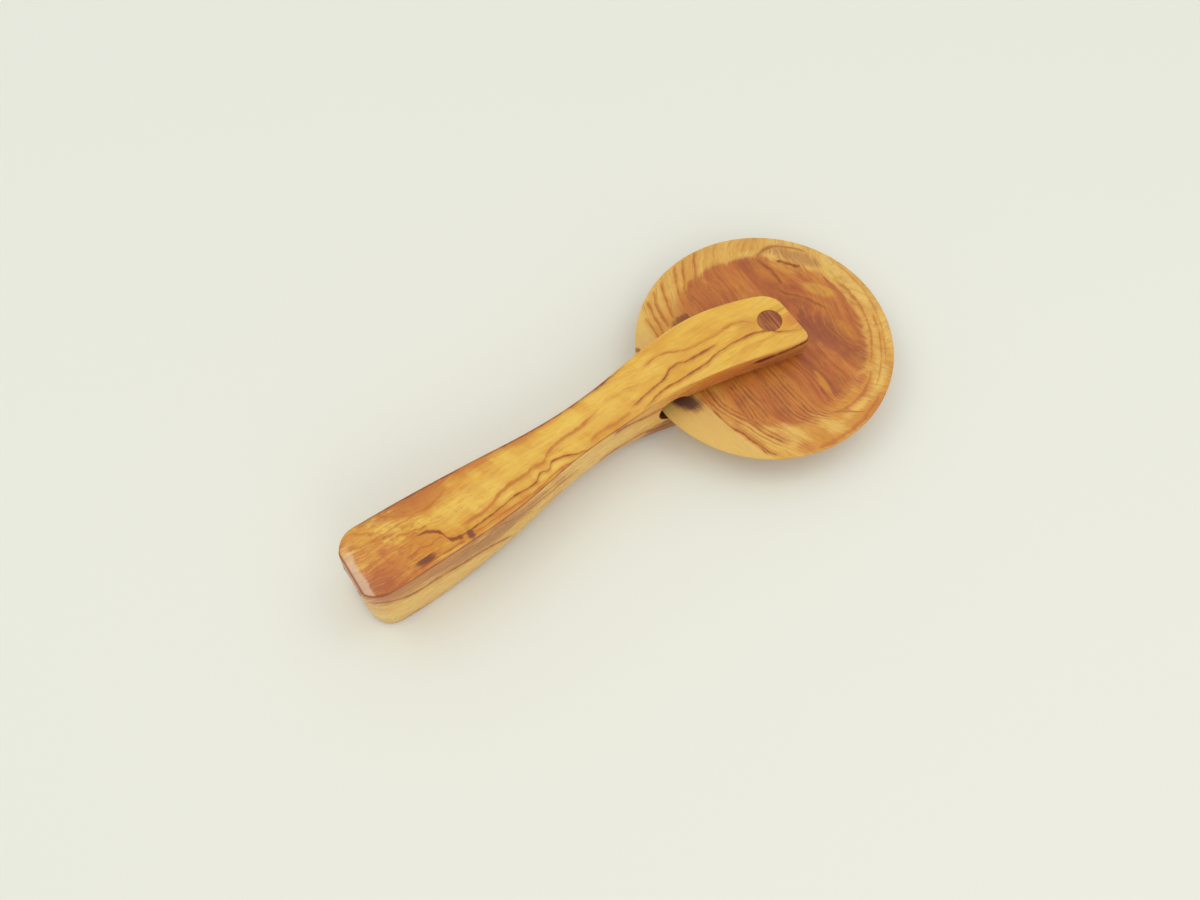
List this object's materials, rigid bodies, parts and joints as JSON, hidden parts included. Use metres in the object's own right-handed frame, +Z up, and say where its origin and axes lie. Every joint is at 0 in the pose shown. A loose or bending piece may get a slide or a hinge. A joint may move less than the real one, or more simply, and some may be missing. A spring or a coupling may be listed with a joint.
{
  "type": "pizza cutter",
  "caption": "Wooden pizza cutter: a curved solid handle whose forked end holds a bevelled wooden wheel, free to turn on a dowel glued through the fork.",
  "frame": {"origin": "middle of the bounding box in plan, on the surface that the cutter lies on", "axes": "+X from the butt of the handle towards the wheel, +Z up along the wheel's axle, out of the upper cheek"},
  "size_m": [0.2176, 0.095, 0.028],
  "materials": {
    "handle_wood": "sanded and oiled, satin, honey yellow with brown grain",
    "wheel_wood": "sanded and oiled, satin, red-brown in the middle and golden on the bevel",
    "dowel_wood": "sanded end grain, satin, dark brown"
  },
  "bodies": {
    "handle": {"handle": "handle_wood", "axle_dowel": "dowel_wood"},
    "wheel": {"cutting_wheel": "wheel_wood"}
  },
  "joints": [
    {"name": "wheel_turn", "type": "hinge", "parent": "handle", "child": "wheel", "pos_m": [0.06125, 0, 0.0127], "axis": [0, 0, 1], "continuous": true}
  ]
}
